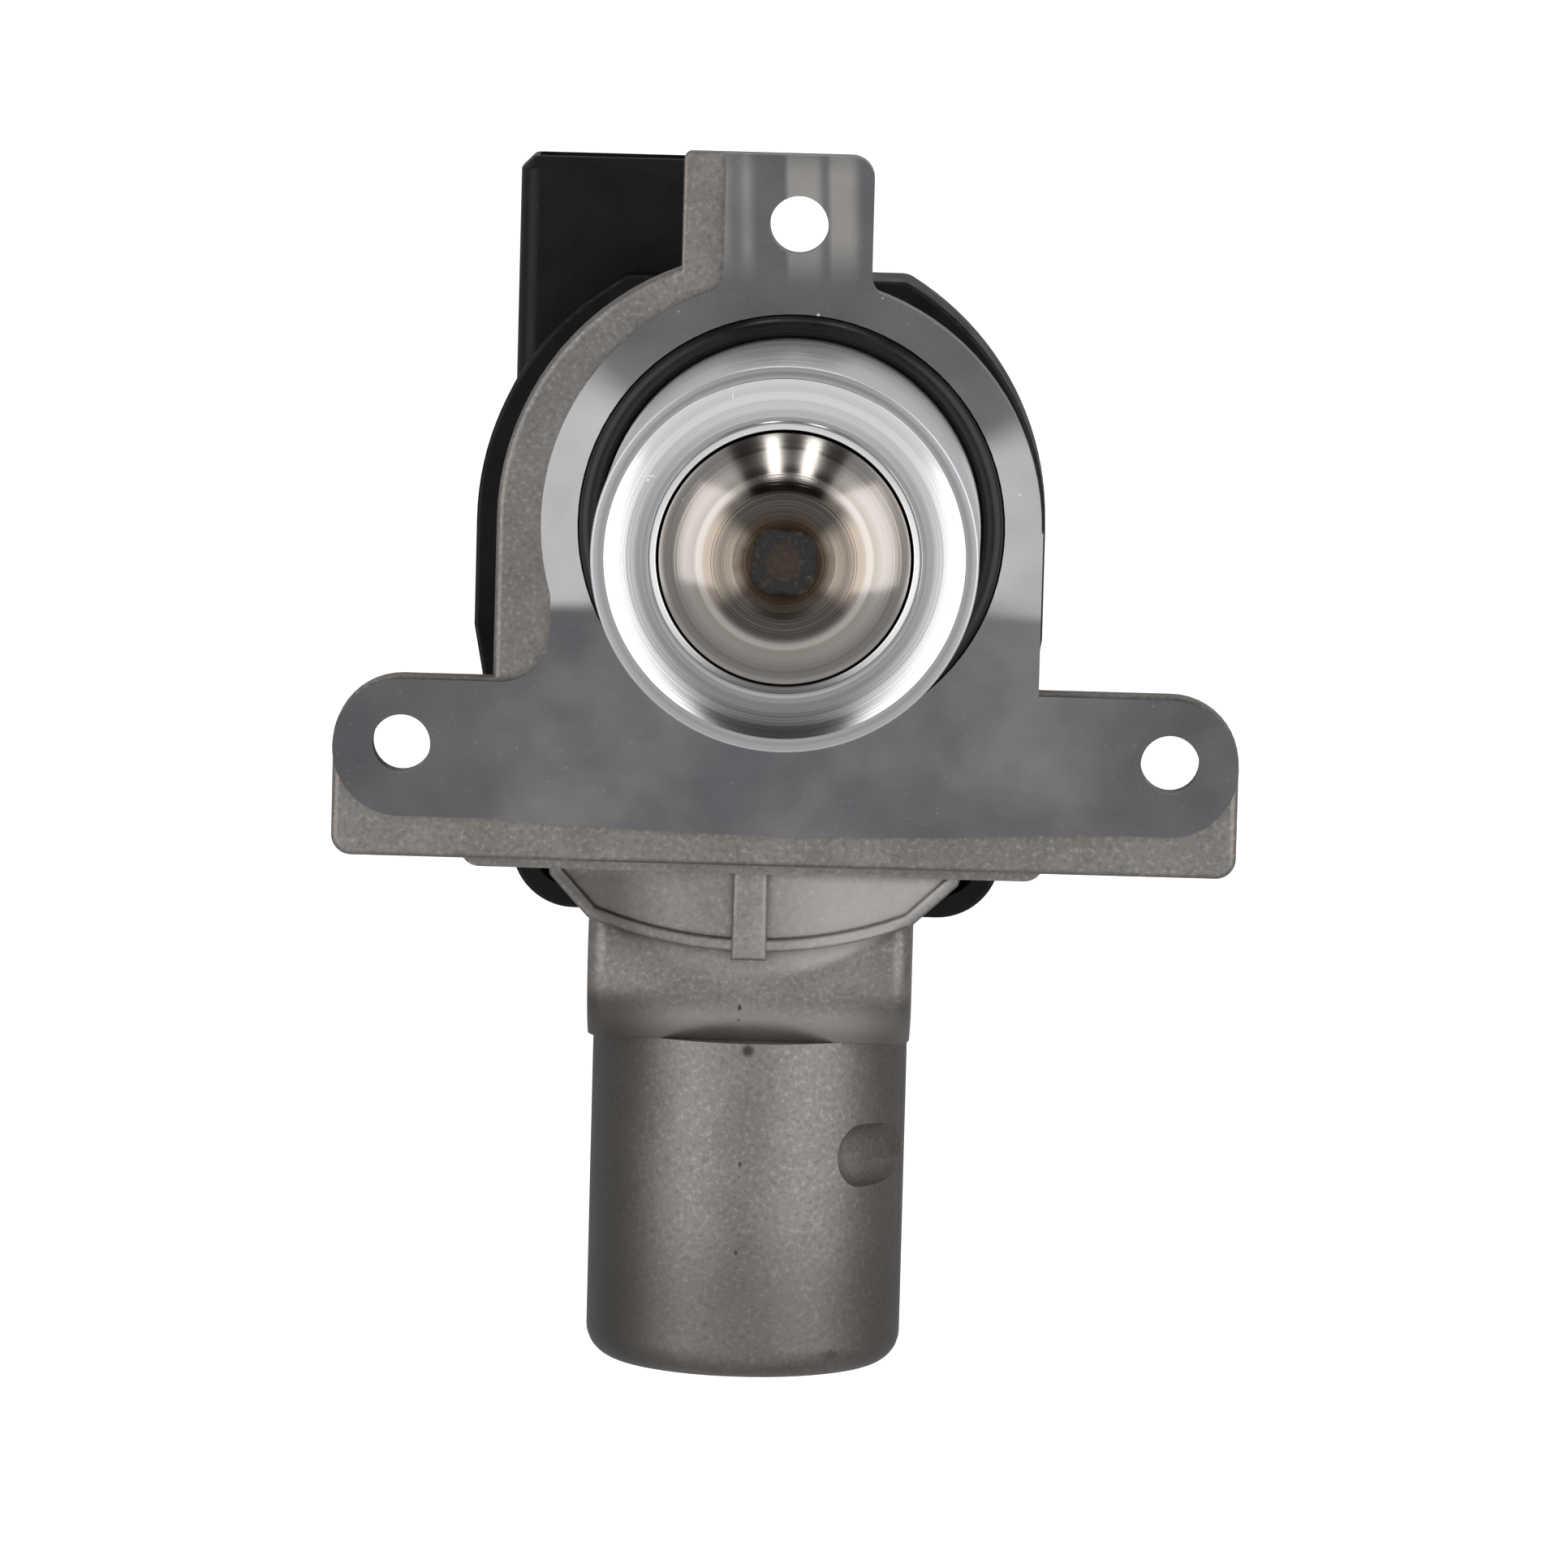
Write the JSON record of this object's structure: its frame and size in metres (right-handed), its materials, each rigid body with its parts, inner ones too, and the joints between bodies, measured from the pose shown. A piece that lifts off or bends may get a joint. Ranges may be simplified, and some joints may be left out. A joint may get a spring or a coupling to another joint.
{
  "type": "egr valve",
  "caption": "Electric exhaust gas valve: flanged casting with round gas nozzle, poppet driven by motor, gears and ramp cam, rear cover with socket.",
  "frame": {"origin": "nozzle's axis at the flange's machined face", "axes": "+Z along the valve stem out of the nozzle, +Y away from the motor can, +X completes the frame"},
  "size_m": [0.1118, 0.1538, 0.0993],
  "materials": {
    "cast_aluminium": "matte sand-cast, machined on the flange face",
    "turned_steel": "turned and polished",
    "seat_steel": "turned",
    "weld_metal": "dark weld scale",
    "seal_rubber": "satin",
    "bush_bronze": "sintered bronze",
    "zinc_steel": "zinc plated",
    "ground_steel": "ground",
    "spring_steel": "oiled spring steel",
    "guide_plastic": "glass-filled",
    "sinter_steel": "sintered",
    "gear_plastic": "natural nylon",
    "washer_plastic": "matte",
    "magnet_ferrite": "sintered ferrite",
    "core_steel": "laminated",
    "winding_copper": "enamelled copper",
    "commutator_copper": "bare copper",
    "brush_carbon": "carbon",
    "pinion_brass": "hobbed brass",
    "board_laminate": "solder mask",
    "chip_plastic": "moulded",
    "pin_tin": "tinned",
    "contact_brass": "stamped",
    "cover_plastic": "satin, glass-filled"
  },
  "bodies": {
    "body": {"housing": "cast_aluminium", "nozzle": "turned_steel", "seat_ring": "seat_steel", "flange_o_ring": "seal_rubber", "guide_bush": "bush_bronze", "stem_seal": "seal_rubber", "seal_washer": "zinc_steel", "return_spring": "spring_steel", "guide_sleeve": "guide_plastic", "drive_axle": "ground_steel", "thrust_washer": "washer_plastic", "intermediate_axle": "ground_steel", "axle_clip": "spring_steel", "bearing_bridge": "zinc_steel", "bridge_screws": "zinc_steel", "motor_case": "zinc_steel", "stator_magnets": "magnet_ferrite", "brush_holder": "guide_plastic", "brushes": "brush_carbon", "front_bearing": "bush_bronze", "rear_bearing": "bush_bronze", "wave_washer": "spring_steel", "motor_circlip": "spring_steel", "sensor_board": "board_laminate", "sensor_chip": "chip_plastic", "connector_pins": "pin_tin", "motor_contacts": "contact_brass", "cover_gasket": "seal_rubber", "rear_cover": "cover_plastic", "cover_screws": "zinc_steel"},
    "drive": {"drive_gear": "gear_plastic", "drive_bush": "bush_bronze", "cam_ring": "sinter_steel", "sensor_magnet": "magnet_ferrite"},
    "intermediate": {"intermediate_gear": "gear_plastic"},
    "rotor": {"motor_shaft": "ground_steel", "armature_core": "core_steel", "armature_windings": "winding_copper", "commutator": "commutator_copper", "motor_pinion": "pinion_brass"},
    "valve": {"valve_stem": "ground_steel", "poppet_head": "seat_steel", "stem_weld": "weld_metal", "spring_seat": "zinc_steel", "cross_pin": "ground_steel"},
    "right_roller": {"roller_right": "ground_steel"},
    "left_roller": {"roller_left": "ground_steel"}
  },
  "joints": [
    {"name": "drive_gear_turn", "type": "hinge", "parent": "body", "child": "drive", "pos_m": [0, 0, -0.0395], "axis": [0, 0, 1], "range_deg": [0, 90]},
    {"name": "intermediate_gear_spin", "type": "hinge", "parent": "body", "child": "intermediate", "pos_m": [-0.004, -0.02872, -0.038], "axis": [0, 0, 1], "range_deg": [-346, 0]},
    {"name": "motor_spin", "type": "hinge", "parent": "body", "child": "rotor", "pos_m": [-0.004, -0.07, -0.029], "axis": [0, 1, 0], "range_deg": [0, 921]},
    {"name": "valve_lift", "type": "slide", "parent": "body", "child": "valve", "axis": [0, 0, 1], "range_m": [0, 0.00601], "deforming": ["return_spring"]},
    {"name": "roller_right_roll", "type": "hinge", "parent": "valve", "child": "right_roller", "pos_m": [0.008, 0, -0.03344], "axis": [1, 0, 0], "range_deg": [0, 289]},
    {"name": "roller_left_roll", "type": "hinge", "parent": "valve", "child": "left_roller", "pos_m": [-0.008, 0, -0.03344], "axis": [1, 0, 0], "range_deg": [-289, 0]}
  ],
  "couplings": [
    {"joint": "intermediate_gear_spin", "follows": "drive_gear_turn", "ratio": -3.8333},
    {"joint": "motor_spin", "follows": "drive_gear_turn", "ratio": 10.222},
    {"joint": "valve_lift", "follows": "drive_gear_turn", "m_per_rad": 0.0038197},
    {"joint": "roller_right_roll", "follows": "drive_gear_turn", "ratio": 3.2},
    {"joint": "roller_left_roll", "follows": "drive_gear_turn", "ratio": -3.2}
  ]
}
